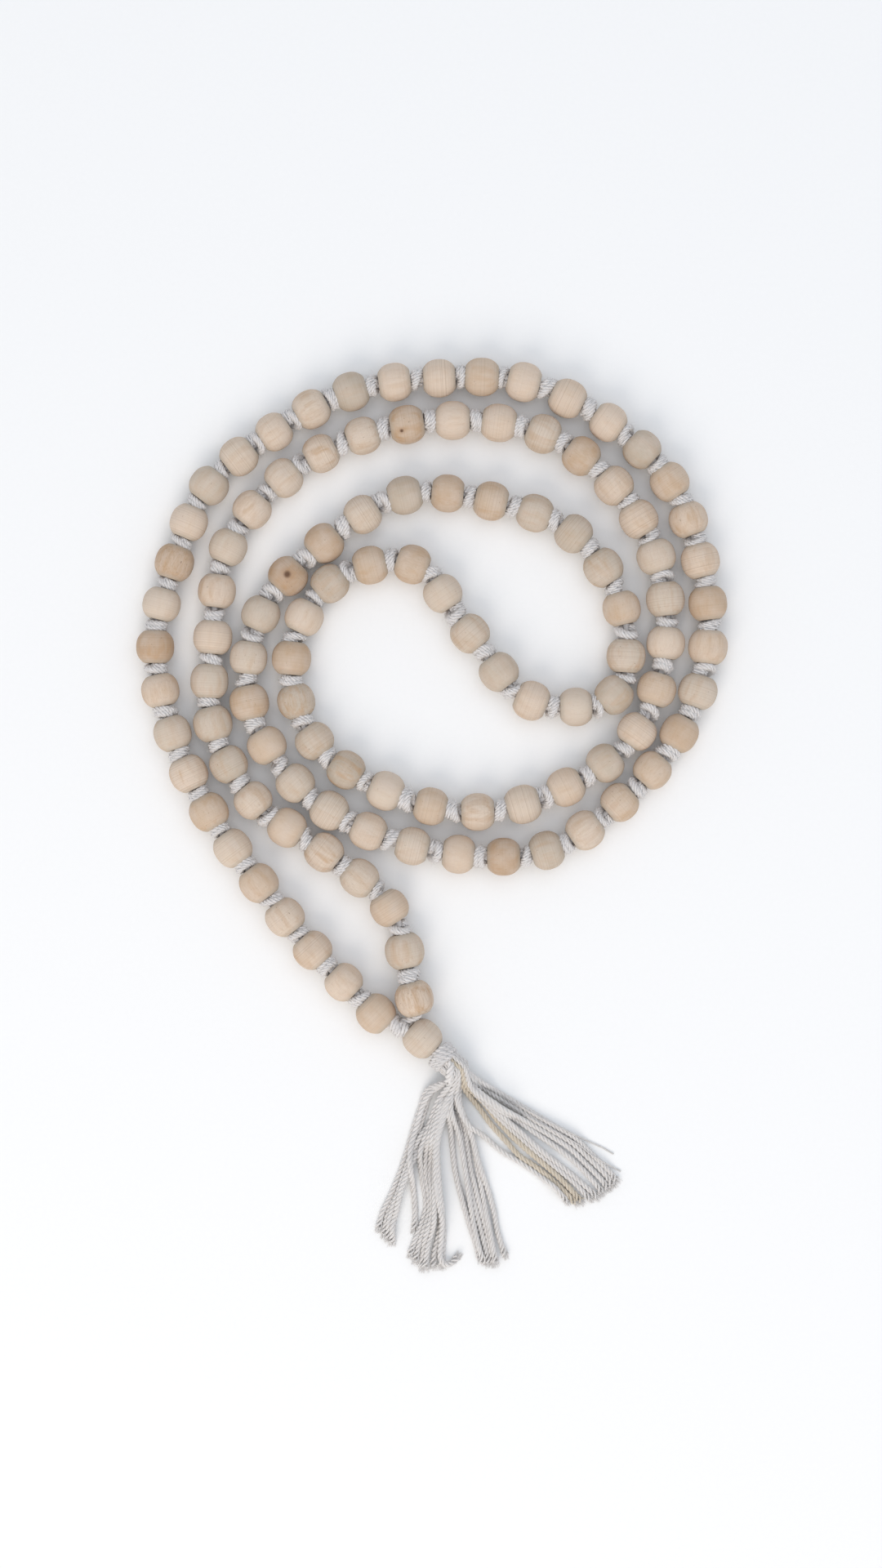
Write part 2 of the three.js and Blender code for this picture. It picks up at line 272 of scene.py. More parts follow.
TASSEL_LINES_MM = {
    "tassel_left_cords": [
        [(-1, -71.7), (-3.2, -77.2), (-5, -82.8), (-6.6, -88.3), (-8.6, -94.3),
         (-10.7, -99.4), (-12.9, -104), (-13.9, -108.1)],
        [(0.1, -72.1), (-2, -78.1), (-3.7, -83.6), (-5.3, -88.7), (-7.3, -94.3),
         (-9.5, -99.8), (-11.4, -104), (-12.5, -109.8)],
        [(1.6, -75.5), (-0.7, -80.6), (-3.5, -84.9), (-5.6, -89.2), (-7.1, -93.4), (-8.6, -98.1),
         (-10.3, -103), (-11.2, -106.6), (-11.3, -110.6)],
        [(2.6, -75.5), (0.3, -81.5), (-2.7, -86.2), (-5, -90.4), (-6.6, -94.3), (-8.1, -98.5),
         (-9.1, -102.8), (-10.1, -107), (-10.3, -111.7)],
        [(-0.8, -73), (-3.9, -81.5), (-5.5, -87.4), (-5.5, -91.7), (-5, -96),
         (-4.5, -100.2), (-4.3, -104.5), (-4.5, -108.3)],
    ],
    "tassel_middle_cords": [
        [(1.6, -74.7), (-1, -82.3), (-3, -88.3), (-2.7, -93.4), (-1.7, -99.4), (-1.6, -103.2),
         (-2.5, -106.6), (-3.9, -110), (-5.6, -114.9)],
        [(2, -76), (-0.3, -82.8), (-1.6, -88.3), (-1.5, -93.4), (-0.6, -99.4), (-0.6, -103.6),
         (-1.8, -107.9), (-3.1, -111.7), (-4.3, -116.6)],
        [(2.4, -76.4), (0.3, -83.2), (-0.2, -88.7), (-0.3, -94.3), (0.1, -99.8), (0, -104.5),
         (-1.2, -108.7), (-2, -112.5), (-2.5, -118.4)],
        [(2.7, -77.2), (1.1, -84), (0.8, -89.6), (0.7, -95.1), (0.8, -100.2), (0.7, -105.3),
         (-0.1, -109.6), (-1, -113), (-1.6, -118.2)],
        [(3, -78.1), (1.4, -84.5), (1.2, -90.9), (1.4, -96.8), (2, -101.9), (2.4, -106.6),
         (1.6, -110.9), (0.8, -114.3), (0.5, -117.9)],
        [(3.1, -78.9), (1.6, -85.3), (1.7, -91.7), (2.2, -98.1), (2.8, -103.6),
         (3.1, -108.7), (3, -113), (2.7, -117.9)],
        [(2.9, -77.2), (1.4, -86.6), (1.1, -94.3), (1.8, -100.2), (2.7, -105.7), (2.5, -111.3), (2.3, -115.5),
         (3.4, -117.4), (5.2, -117.2), (6.8, -115.6)],
    ],
    "tassel_centre_cords": [
        [(4.1, -75.5), (4.9, -81.1), (5.5, -87.4), (6.1, -92.6), (7, -96.8), (8.4, -101.9),
         (9.9, -107), (11.4, -111.7), (12.7, -116)],
        [(5.6, -75.1), (7.2, -81.1), (8.1, -86.6), (8.8, -91.7), (10.1, -97.7), (11.6, -103.6),
         (12.9, -108.7), (14.1, -113.4), (14.9, -117)],
        [(6.3, -75), (8.8, -81.5), (9.4, -87), (10.2, -92.6), (11.5, -97.7), (12.9, -103.2),
         (14.2, -107.9), (15.3, -113), (16.3, -117.2)],
        [(6.8, -75), (10.1, -82.8), (11.2, -87.4), (12, -92.1), (12.9, -96.8), (13.9, -101.9),
         (14.9, -107), (15.9, -112.1), (16.9, -116.8)],
        [(5, -75.5), (7.4, -84.5), (8.4, -90), (9.3, -96), (10.3, -102.8),
         (11.4, -108.7), (12.4, -113), (13.6, -116.8)],
        [(7.2, -74.6), (9.6, -81.1), (11.2, -86.4), (12.2, -90.4), (13.6, -94.7), (15.2, -99.4), (16.4, -104),
         (17.2, -108.7), (18.2, -112.1), (19.2, -115.1)],
    ],
    "tassel_right_cords": [
        [(8.2, -70.6), (12.8, -77.1), (15.7, -81.1), (19.5, -85.3), (23.2, -89.3), (26.4, -91.4),
         (30.6, -94.6), (34.4, -98.1), (37.8, -101.5)],
        [(8.8, -69.8), (13.9, -75.5), (16.8, -79.2), (20.5, -83.4), (24.3, -86.9), (28, -90.1),
         (31.7, -93.3), (35.4, -96.8), (39.1, -101)],
        [(6.6, -73.8), (9.8, -80.8), (13.2, -83.5), (18.4, -88), (23.7, -91.2),
         (29, -94.9), (32.2, -97.3), (35.4, -101)],
        [(9, -69.2), (14.9, -76.2), (20, -81.3), (24.8, -85.7), (29, -89.3),
         (33.3, -92.8), (37.6, -96.4), (41.5, -100.5)],
        [(9.2, -68.8), (15.7, -75.9), (20, -79.9), (24.8, -84.2), (29, -87.9), (33.3, -91.3),
         (37.6, -94.8), (41.3, -98), (43.4, -99.8)],
        [(9.4, -68.6), (10.9, -71.4), (15.7, -75.2), (21.1, -79), (26.4, -82.6), (32.2, -86.6), (35.4, -89),
         (39.1, -92.3), (42.9, -96.4), (44.7, -98.6)],
        [(9.5, -68), (11.2, -70.8), (16.8, -75.2), (24.8, -80.1), (32.2, -84.5), (36.5, -87.4),
         (40.2, -91), (44.5, -95.4), (46.3, -97.6)],
        [(9.4, -67.2), (11, -69.3), (16.8, -73.6), (24.8, -78.5), (32.2, -82.9), (37, -85.9),
         (41.3, -89.8), (45.5, -94), (47.5, -96.6)],
        [(9.2, -66.4), (10.6, -67.9), (16.8, -72.1), (24.8, -76.9), (32.2, -81.3), (37.6, -84.5),
         (42.3, -89), (46.6, -93.3), (48.3, -95.4)],
    ],
}
THREADS_MM = {  # each thread has come loose from a cord
    "tassel_right_cords_9": [(36.5, -83.1), (40.7, -85.2), (45, -87.2), (47.7, -88.8)],
    "tassel_right_cords_8": [(38.6, -86.2), (41.3, -88.4), (46.6, -91.7), (49.6, -93.3)],
}
TASSEL_WIDTH = 1.6 * MM
print(sum(map(len, TASSEL_LINES_MM.values())), "tassel cords")


# %% Laying the cords on the table and on each other
CORD_STEP = 0.5 * MM
LEAVES_KNOT = 13 * MM  # how far a cord runs before it lies on the table
TOUCHING = 0.7  # cords nearer than this many widths lie on each other
RISE = 0.75  # how far a cord is lifted by one under it, in parts of its width
PILE = 2.2  # cords press into each other, so they pile no higher than this many widths
STIFF_PASSES = 30  # a cord is too stiff to drop straight off another,
STIFF_SAG = 0.01  # sags by this part of its width from step to step,
SOFT_PASSES = 6  # and has no corners in its humps


def settled(line, laid, width, table):
    """Heights that put a line on the table, or over lines that are laid already, in long low humps."""
    heights = np.full(len(line), table)
    if laid:
        others = np.array(laid)
        for i, point in enumerate(line):
            away = np.hypot(others[:, 0] - point.x, others[:, 1] - point.y)
            near = away < TOUCHING * width
            if near.any():
                over = others[near, 2] + RISE * np.sqrt(width**2 - away[near] ** 2)
                heights[i] = min(max(heights[i], over.max()), table + PILE * width)
    for _ in range(STIFF_PASSES):
        heights[1:-1] = np.maximum(heights[1:-1], (heights[:-2] + heights[2:]) / 2 - STIFF_SAG * width)
    for _ in range(SOFT_PASSES):
        heights[1:-1] = (heights[:-2] + 2 * heights[1:-1] + heights[2:]) / 4
    return heights


dice = random.Random(108)
tassel_cords, cord_lines, laid = [], {}, []
ROW_HEIGHT = 0.86  # round cords that lie in the gaps of the row below are this many widths higher
MOUTH_RADIUS = 3.3  # of the tassel knot's mouth, in widths of a cord
root_places = [(a + 0.5 * (row % 2), row * ROW_HEIGHT) for row in range(-2, 3) for a in range(-3, 4)]
root_places = sorted((p for p in root_places if math.hypot(*p) < MOUTH_RADIUS), key=lambda p: p[0])
PINCH = 0.62  # the cords are squeezed to this part of their width in the knot
IN_KNOT, OUT_OF_KNOT = 3 * MM, 2 * MM  # how far a cord runs straight behind and before the knot's mouth
STAYS_UP = 4 * MM  # how far it runs before it starts to come down

group_of = [(name, k) for name, lines in TASSEL_LINES_MM.items() for k in range(len(lines))]
spread = np.linspace(0, len(root_places) - 1, len(group_of)).round().astype(int)
for order, (name, k) in enumerate(group_of):
    across, up = root_places[spread[order]]
    root = KNOT_END + (ACROSS * across + UP * up) * TASSEL_WIDTH * PINCH
    flat = [Vector((x, y, 0)) * MM for x, y in TASSEL_LINES_MM[name][k]]
    start = [root - GURU_HEADING * IN_KNOT, root, root + GURU_HEADING * OUT_OF_KNOT]
    drawn = evenly_spaced([Vector((*p.xy, 0)) for p in start] + flat, CORD_STEP)
    ends = [0.0]
    for a, b in zip(drawn, drawn[1:]):
        ends.append(ends[-1] + (b - a).length)
    table = settled(drawn, laid, TASSEL_WIDTH, 0.5 * TASSEL_WIDTH)
    line = []
    for point, height, reached in zip(drawn, table, ends):
        s = min(1.0, max(0.0, (reached - STAYS_UP) / LEAVES_KNOT))
        s = s * s * (3 - 2 * s)  # it bends gently at both ends of its way down
        line.append(Vector((point.x, point.y, root.z * (1 - s) + height * s)))
    laid += [tuple(p) for p, reached in zip(line, ends) if reached > LEAVES_KNOT]
    cord_lines[f"{name}_{k + 1}"] = line


PINCH_REACH = 9  # in millimetres, how far from its root a squeezed cord gets its full width back
FRAY_REACH = 3.0  # in millimetres, how much of the cut end has opened


def frayed_end(width_at_root):
    """Plies that are squeezed in the knot at one end, and open and thin out at the other."""
    def swell(i, count):
        into = i * CORD_STEP / MM
        left = (count - 1 - i) * CORD_STEP / MM
        pinch = width_at_root + (1 - width_at_root) * min(1, into / PINCH_REACH)
        open_up = max(0.0, 1 - left / FRAY_REACH)
        return pinch * (1 - 0.35 * open_up), pinch * (1 + 1.1 * open_up**1.5)
    return swell


for name, line in cord_lines.items():
    width = TASSEL_WIDTH * dice.uniform(0.94, 1.04)
    cord = twisted_cord(name, line, width, TWIST * dice.uniform(0.9, 1.1), dice.uniform(0, 6.28), frayed_end(PINCH))
    tassel_cords.append(cord)
to_mesh(*tassel_cords)
print("longest tassel cord:", round(max(map(length_of, cord_lines.values())) / MM, 1), "mm;",
      "highest:", round(max(p.z for line in cord_lines.values() for p in line) / MM, 1), "mm")


# %% Loose threads
THREAD_WIDTH = 0.5 * MM
threads = []
for k, (cord, points) in enumerate(THREADS_MM.items()):
    root = cord_lines[cord]
    start = [root[len(root) // 3], root[len(root) // 2]]
    flat = [Vector((p.x, p.y, 0)) for p in start] + [Vector((x, y, 0)) * MM for x, y in points]
    drawn = evenly_spaced(flat, CORD_STEP)
    heights = settled(drawn, laid, 0.5 * (TASSEL_WIDTH + THREAD_WIDTH), 0.5 * THREAD_WIDTH)
    line = [Vector((p.x, p.y, h)) for p, h in zip(drawn, heights)]
    name = f"tassel_thread_{k + 1}"
    cord_lines[name] = line
    threads.append(twisted_cord(name, line, THREAD_WIDTH, 1.6 * MM, sides=4))
to_mesh(*threads)
print("threads:", [round(length_of(cord_lines[o.name]) / MM, 1) for o in threads], "mm")


# %% [markdown]
# ## Frayed tips
# The cords were cut with scissors and not sealed, so the last millimetres have opened into single fibres. They are
# far too fine to draw one by one, and some twenty thicker hairs for each end give the same soft outline. They are
# curves as well, with four sides and a radius that gets smaller towards the tip.

# %% Tufts of fibres at the cut ends
def tuft(name, ends, count, reach, thickness, spread, on_table=True):
    """Short tapering hairs at each (place, direction) of the ends, as one curve object."""
    curve = bpy.data.curves.new(name, "CURVE")
    curve.dimensions = "3D"
    curve.bevel_depth = thickness
    curve.bevel_resolution = 0
    for place, direction in ends:
        across = direction.orthogonal().normalized()
        over = direction.cross(across)
        for _ in range(count):
            angle, out = dice.uniform(0, 2 * math.pi), math.sqrt(dice.random())
            away = across * math.cos(angle) + over * math.sin(angle)
            long, bend = reach * dice.uniform(0.4, 1.0), dice.uniform(-0.5, 0.5)
            spline = curve.splines.new("POLY")
            spline.points.add(3)
            for i, point in enumerate(spline.points):
                s = i / 3
                p = place + away * out * 0.45 * TASSEL_WIDTH * (1 + spread * s) + direction * long * (s - 0.25)
                p += over * bend * long * s * s * 0.6
                if on_table:
                    p.z = max(p.z, 1.2 * thickness)
                point.co = (*p, 1)
                point.radius = 1 - 0.55 * s
    made = bpy.data.objects.new(name, curve)
    bpy.context.collection.objects.link(made)
    return made


HAIR = 0.09 * MM
TIP_HAIRS = 22
TIP_REACH = 2.1 * MM
tufts = {}
for group in TASSEL_LINES_MM:
    ends = []
    for name, line in cord_lines.items():
        if name.startswith(group):
            ends.append((line[-1], (line[-1] - line[-4]).normalized()))
    tufts[group] = tuft(group.replace("cords", "tips"), ends, TIP_HAIRS, TIP_REACH, HAIR, 0.5)
to_mesh(*tufts.values())
print("tufts:", [len(o.data.polygons) for o in tufts.values()], "faces")


# %% [markdown]
# ## The strand
# Under the beads and knots runs one limp cord. Almost none of it shows, but it is what holds the mala together, and
# it does show when a fold opens. It follows the beads' bores, so its line is the centres of the beads. It is cut
# only where the CAD has a fold line between two rigid bodies.

# %% The cord inside the beads
STRAND_WIDTH = 1.8 * MM
BEAD_LENGTH = 8.76 * MM  # between the flat ends
RUNS = {  # first and last bead, and the body that they ride on
    "coil_strand_1": (6, 13, "coil"),
    "coil_strand_2": (27, 58, "coil"),
    "coil_strand_3": (65, 103, "coil"),
    "outer_arc_strand": (14, 26, "outer_arc"),
    "centre_bight_strand": (59, 64, "centre_bight"),
    "tail_upper_left_strand": (4, 5, "tail_upper"),
    "tail_upper_right_strand": (104, 105, "tail_upper"),
    "tail_middle_left_strand": (2, 3, "tail_middle"),
    "tail_middle_right_strand": (106, 106, "tail_middle"),
    "tail_lower_left_strand": (1, 1, "tail_lower"),
    "tail_lower_right_strand": (107, 107, "tail_lower"),
}
body_of_bead = {n: body for first, last, body in RUNS.values() for n in range(first, last + 1)}
JOIN = Vector((-7.9, -54, 5)) * MM  # where the two ends of the strand are knotted together
GURU_MOUTH = GURU - GURU_HEADING * 4.9 * MM
SHOWN_RUN = "tail_lower_right_strand"  # it shows between its bead and the joining knot, so it gets its plies
SHOWN_WIDTH = 2.0 * MM


def bead_end(number, towards):
    """The middle of a bead's flat end, on the side of its neighbour before (-1) or after it (1)."""
    return centres[number] + headings[number] * towards * BEAD_LENGTH / 2


def fold_end(number, towards):
    """Where a run stops inside a fold's knot, a little short of the middle, so that the fold can open and close."""
    return bead_end(number, towards).lerp(bead_end(number + towards, -towards), 0.36)


strands = {}
for name, (first, last, body) in RUNS.items():
    line = [fold_end(first, -1)] if first > 1 else [GURU_MOUTH, JOIN]
    for n in range(first, last + 1):
        line += [bead_end(n, -1), centres[n], bead_end(n, 1)]
    line += [fold_end(last, 1)] if last < BEAD_COUNT else [JOIN, GURU_MOUTH]
    cord_lines[name] = line
    if name == SHOWN_RUN:
        strands[name] = twisted_cord(name, evenly_spaced(line, CORD_STEP), SHOWN_WIDTH)
        continue
    curve = bpy.data.curves.new(name, "CURVE")
    curve.dimensions = "3D"
    curve.bevel_depth = STRAND_WIDTH / 2
    curve.bevel_resolution = 2
    curve.use_fill_caps = True
    spline = curve.splines.new("POLY")
    spline.points.add(len(line) - 1)
    for point, place in zip(spline.points, line):
        point.co = (*place, 1)
    strands[name] = bpy.data.objects.new(name, curve)
    bpy.context.collection.objects.link(strands[name])
to_mesh(*strands.values())
print("strand:", round(sum(length_of(cord_lines[name]) for name in RUNS) / MM), "mm")


# %% [markdown]
# ## Knots
# Between two beads the cord is tied in an overhand knot and pulled tight against the bead. What shows is two or
# three fat turns of three-ply cord that lean across the strand. A torus or two would look like a washer. So the
# turns follow a real winding line: out from the bore, round the strand with a lean, and back into the next bore.
# In a tight knot two strands lie side by side and flatten each other, so the line carries seven plies, which makes
# a smoother roll. Four different knots are modelled once, lying along Y, with a few stray hairs. They are copied,
# pressed to their gaps and turned.

# %% Four knots to copy
KNOT_CORD = 2.7 * MM
KNOT_REACH = 2.75 * MM  # half a knot's own length before it is pressed between two beads
KNOT_ROOM = 2.3 * MM  # how far its line runs along the strand
WIND_OUT = 11  # how fast the line winds out of the bore, and back into the next one
KNOT_PLIES = 7
KNOT_TWIST = 6 * MM


def knot_line(turns, radius, lean, lean_angle, steps):
    """A line that winds round the Y axis with a lean."""
    line = []
    for i in range(steps + 1):
        s = i / steps
        angle = 2 * math.pi * turns * s
        out = radius * min(1.0, WIND_OUT * s + 0.25, WIND_OUT * (1 - s) + 0.25)
        along = (s - 0.5) * KNOT_ROOM + lean * math.sin(angle - lean_angle) * (out / radius)
        line.append(Vector((math.cos(angle) * out, along, math.sin(angle) * out)))
    return line


# turns, radius, lean and the direction of the lean
KNOT_SHAPES = [(1.7, 1.78, 0.95, 0.4), (1.9, 1.7, 0.8, 2.1), (1.6, 1.85, 1.1, 3.9), (1.8, 1.75, 0.65, 5.2)]
knots = []
for k, (turns, radius, lean, lean_angle) in enumerate(KNOT_SHAPES):
    line = knot_line(turns, radius * MM, lean * MM, lean_angle, 20)
    turned_cord = twisted_cord(
        f"knot_{k}", line, KNOT_CORD, KNOT_TWIST, dice.uniform(0, 6), sides=4, plies=KNOT_PLIES)
    roots = []
    for point in line[5:15]:
        outward = Vector((point.x, 0, point.z)).normalized()
        stray = (outward + Vector((0, dice.uniform(-2, 2), 0))).normalized()
        roots.append((point + outward * 0.45 * KNOT_CORD, stray))
    hairs = tuft(f"knot_hairs_{k}", roots, 1, 1.5 * MM, 0.035 * MM, 0.5, on_table=False)
    to_mesh(turned_cord, hairs)
    knots.append(joined(f"knot_{k}", [turned_cord, hairs]))
print("knots:", [len(o.data.polygons) for o in knots], "faces")


# %% A copy of a shape at a place
def placed(heading, place, sizes=(1, 1, 1), turn=0.0):
    """The matrix that turns a shape about its Y axis, sizes it and stands that axis along the heading at a place."""
    side = heading.cross(UP).normalized()
    top = side.cross(heading)
    axes = Matrix((side, heading, top)).transposed().to_4x4()
    return Matrix.Translation(place) @ axes @ Matrix.Diagonal((*sizes, 1)) @ Matrix.Rotation(turn, 4, "Y")


def copied(shape, name, matrix):
    """A copy with its own mesh, moved there, while its object stays at the origin."""
    made = bpy.data.objects.new(name, shape.data.copy())
    made.data.transform(matrix)
    bpy.context.collection.objects.link(made)
    return made


# %% A knot in every gap
INTO_BEAD = 0.9 * MM  # how far a knot is pulled in round the end of a bead


def knot_between(name, a, b, wide=1.0):
    """One of the four knots, pressed to the gap between two places."""
    press = ((b - a).length / 2 + INTO_BEAD) / KNOT_REACH
    width = wide * dice.uniform(0.96, 1.1)
    matrix = placed((b - a).normalized(), (a + b) / 2, (width, press, width), dice.uniform(0, 2 * math.pi))
    return copied(dice.choice(knots), name, matrix)


knot_pieces, fold_knots = {}, {}
for n in range(1, BEAD_COUNT):
    knot = knot_between(f"knot_after_{n:03d}", bead_end(n, 1), bead_end(n + 1, -1))
    same_body = body_of_bead[n] == body_of_bead[n + 1]
    (knot_pieces if same_body else fold_knots)[n] = knot
print(len(knot_pieces), "knots inside the bodies,", len(fold_knots), "on fold lines")


# %% [markdown]
# ## Beads
# A wooden bead is turned on a lathe and then drilled, so its shape is one outline spun round the bore. The outline
# is a barrel: fuller than a sphere near the ends, with a flat at each end where it was parted off, and a small
# chamfer into the drilled hole. Spinning gives clean rings of faces that shade well. There are 108 beads, so the
# outline has only as many points as its curve needs.

# %% The outline of half a bead
BEAD_WIDTH = 10 * MM
OUTLINE_MM = [  # radius and distance from the middle
    (5.0, 0.0), (4.97, 0.75), (4.86, 1.5), (4.63, 2.25), (4.25, 2.95), (3.78, 3.55), (3.3, 4.0),
    (2.95, 4.25), (2.6, 4.36), (1.4, 4.38), (1.15, 4.15), (1.1, 3.2),
]
LATHE_STEPS = 24
SHARP_EDGE = math.radians(38)  # edges that turn by more than this stay sharp

half = [Vector((radius, along, 0)) * MM for radius, along in OUTLINE_MM]
outline = half[::-1] + [Vector((p.x, -p.y, 0)) for p in half[1:]]
bead_mesh = bpy.data.meshes.new("bead")
bead_mesh.from_pydata(outline, [(i, (i + 1) % len(outline)) for i in range(len(outline))], [])
bead = bpy.data.objects.new("bead", bead_mesh)
bpy.context.collection.objects.link(bead)
only(bead)
bpy.ops.object.mode_set(mode="EDIT")
bpy.ops.mesh.select_all(action="SELECT")
bpy.ops.mesh.spin(steps=LATHE_STEPS, angle=2 * math.pi, center=(0, 0, 0), axis=(0, 1, 0))
bpy.ops.mesh.select_all(action="SELECT")
bpy.ops.mesh.remove_doubles(threshold=0.001 * MM)
bpy.ops.mesh.normals_make_consistent(inside=False)
bpy.ops.object.mode_set(mode="OBJECT")
bpy.ops.object.shade_smooth_by_angle(angle=SHARP_EDGE)
print("bead:", len(bead.data.polygons), "faces,", round(bead.dimensions.x / MM, 2), "mm wide")


# %% [markdown]
# ## What the wood remembers
# Every bead came from another stretch of wood. For the material to know, each mesh carries three attributes: the
# place of a point in its own bead, in millimetres, with Y along the bore; a set of three numbers that differ from
# bead to bead: a seed, how dark it is, and how much grain and dirt it shows; and how far a point is from the round
# mark of a branch, which two of the beads have. They survive when beads are joined into one piece.

# %% Place and character as attributes
CHARACTER = {  # tone from 0, greyish pale, to 1, warm and dark; and grain from 0, plain, to 1, coarse
    13: (0.85, 1.0), 11: (0.9, 0.7), 48: (0.95, 0.8), 92: (0.45, 0.6), 103: (0.4, 0.7), 107: (0.55, 0.95),
    38: (0.9, 0.55), 53: (0.75, 0.5), 5: (0.7, 0.35), 70: (0.1, 0.9), 72: (0.05, 0.8), 58: (0.2, 0.7),
    90: (0.8, 0.75), 65: (0.75, 0.5), 28: (0.6, 0.6), 22: (0.7, 0.3), 27: (0.7, 0.35), 99: (0.15, 0.4),
    100: (0.12, 0.5), 43: (0.2, 0.3), 32: (0.2, 0.3), 46: (0.22, 0.35), 3: (0.6, 0.5), 106: (0.2, 0.5),
    25: (0.5, 0.1), 23: (0.5, 0.1), 89: (0.5, 0.15), 20: (0.48, 0.15), 24: (0.55, 0.1), 88: (0.55, 0.2),
}
FLATS = {  # beads with a small flat left by the blank, and where it faces: right and forward of straight up
    62: (0.1, 0.25), 65: (0.0, 0.1), 41: (0.2, 0.1), 3: (-0.1, 0.35), 13: (0.6, -0.2), 93: (0.2, 0.3),
    90: (0.1, -0.3),
}
FLAT_DEPTH = 0.34 * MM
KNOT_MARKS = {  # beads with a branch's dark round mark: where it faces, and its size
    48: (0.0, 0.02, 1.0), 90: (-0.3, -0.5, 0.5),
}


def set_attribute(mesh, name, values):
    """Gives every vertex of the mesh three numbers of its own."""
    attribute = mesh.attributes.new(name, "FLOAT_VECTOR", "POINT")
    attribute.data.foreach_set("vector", np.asarray(values, float).ravel())


own_place = np.array([v.co for v in bead.data.vertices]) / MM
set_attribute(bead.data, "bead_place", own_place)


def turned_bead(number, name, centre, heading):
    """A copy of the bead with its own size, turn, character and, for a few, a flat."""
    roll = random.Random(1000 + number)
    tone, grain = CHARACTER.get(number, (roll.uniform(0.05, 0.85), roll.uniform(0.05, 0.5)))
    sizes = (roll.uniform(0.98, 1.03), roll.uniform(0.94, 1.02), roll.uniform(0.97, 1.0))
    made = copied(bead, name, placed(heading, centre, sizes, roll.uniform(0, 2 * math.pi)))
    if number in FLATS:
        right, forward = FLATS[number]
        facing = (UP + Vector((right, forward, 0))).normalized()
        only(made)
        bpy.ops.object.mode_set(mode="EDIT")
        bpy.ops.mesh.select_all(action="SELECT")
        cut = centre + facing * (BEAD_WIDTH / 2 * sizes[2] - FLAT_DEPTH)
        bpy.ops.mesh.bisect(plane_co=cut, plane_no=facing, use_fill=True, clear_outer=True)
        bpy.ops.object.mode_set(mode="OBJECT")
    set_attribute(made.data, "bead_kind", [(number, tone, grain)] * len(made.data.vertices))
    right, forward, size = KNOT_MARKS.get(number, (0, 0, 1))
    mark = centre + (UP + Vector((right, forward, 0))).normalized() * BEAD_WIDTH / 2
    far = Vector((10, 10, 10))  # in millimetres, further than any mark reaches
    set_attribute(made.data, "from_mark", [
        (v.co - mark) / (size * MM) if number in KNOT_MARKS else far for v in made.data.vertices])
    return made


# %% The beads, loose or held
held_beads, loose_beads = {}, {}
for n in range(1, BEAD_COUNT + 1):
    made = turned_bead(n, f"wooden_bead_{n:03d}", centres[n], headings[n])
    (loose_beads if n in LOOSE else held_beads)[n] = made
guru_bead = turned_bead(108, "wooden_guru_bead", GURU, GURU_HEADING)
print(len(loose_beads), "loose beads,", len(held_beads), "held beads and the guru bead")


# %% [markdown]
# ## Joining knot and tassel knot
# Above the guru bead both ends of the strand are tied together, and below it all the tassel cords are bound by a
# wrapped knot of about 8 mm. It looks woven, because each turn comes to a point at the top and the points lie in a
# row. Plain rings would look like a washer, so one line winds round and steps forward and back in every turn.

# %% The knots round the guru bead
joining_knot = knot_between("joining_knot", bead_end(1, -1), GURU_MOUTH, wide=1.08)

BINDING_CORD = 1.8 * MM
BINDING_TURNS = 3.6
BINDING_RADIUS = 2.95 * MM
CHEVRON = 1.7 * MM  # how far a turn's point stands forward of its sides
BINDING_LENGTH = 3.4 * MM
BINDING_STEPS = 90

line = []
for i in range(BINDING_STEPS + 1):
    s = i / BINDING_STEPS
    angle = 2 * math.pi * BINDING_TURNS * s
    out = BINDING_RADIUS * min(1.0, 8 * s + 0.3, 8 * (1 - s) + 0.3)  # it comes out of the middle and goes back in
    point_up = abs((angle / math.pi + 0.6) % 2 - 1)  # 1 at the top and 0 at the bottom, with a corner in between
    along = (s - 0.5) * BINDING_LENGTH + (point_up - 0.5) * CHEVRON
    line.append(Vector((math.cos(angle) * out, along, math.sin(angle) * out)))
binding = twisted_cord("tassel_binding", line, BINDING_CORD, 3.4 * MM, sides=6)
to_mesh(binding)
binding.data.transform(placed(GURU_HEADING, KNOT_FOOT + GURU_HEADING * 0.26 * KNOT_LENGTH, (1.08, 1, 0.96)))

NECK_WIDTH = 1.5 * MM
neck = []
for side in (-1, 1):
    a = GURU + GURU_HEADING * 3.2 * MM + ACROSS * side * 0.45 * MM
    b = KNOT_FOOT + GURU_HEADING * 1.5 * MM + ACROSS * side * 0.75 * MM
    neck.append(twisted_cord(f"neck_{side}", evenly_spaced([a, (a + b) / 2, b], CORD_STEP), NECK_WIDTH, sides=6))
to_mesh(*neck)
neck = joined("tassel_neck", neck)

# the end of the binding comes out over the knot and lies on the cords
over = KNOT_END + UP * 2.3 * MM - GURU_HEADING * 0.6 * MM
tail_line = evenly_spaced([
    over - GURU_HEADING * 1.8 * MM - UP * 1.2 * MM, over,
    over + Vector((-0.3, -2.2, 0.2)) * MM, over + Vector((-0.7, -4.4, -1.3)) * MM], CORD_STEP)
binding_tail = twisted_cord("tassel_binding_tail", tail_line, SHOWN_WIDTH, 4.5 * MM)
tail_end = (tail_line[-1], (tail_line[-1] - tail_line[-3]).normalized())
tail_hairs = tuft("binding_tail_hairs", [tail_end], 16, 1.6 * MM, HAIR, 0.5, on_table=False)
to_mesh(binding_tail, tail_hairs)
binding_tail = joined("tassel_binding_tail", [binding_tail, tail_hairs])
print("binding:", [round(v / MM, 1) for v in binding.dimensions], "mm")


# %% [markdown]
# ## One way to add a node
# Materials are built from nodes. This function makes any node from its type, its settings and what its inputs are:
# a number, a colour, or another node's output. Colours are written as the eye knows them, in sRGB hex, and turned
# to the linear values that the renderer counts in.

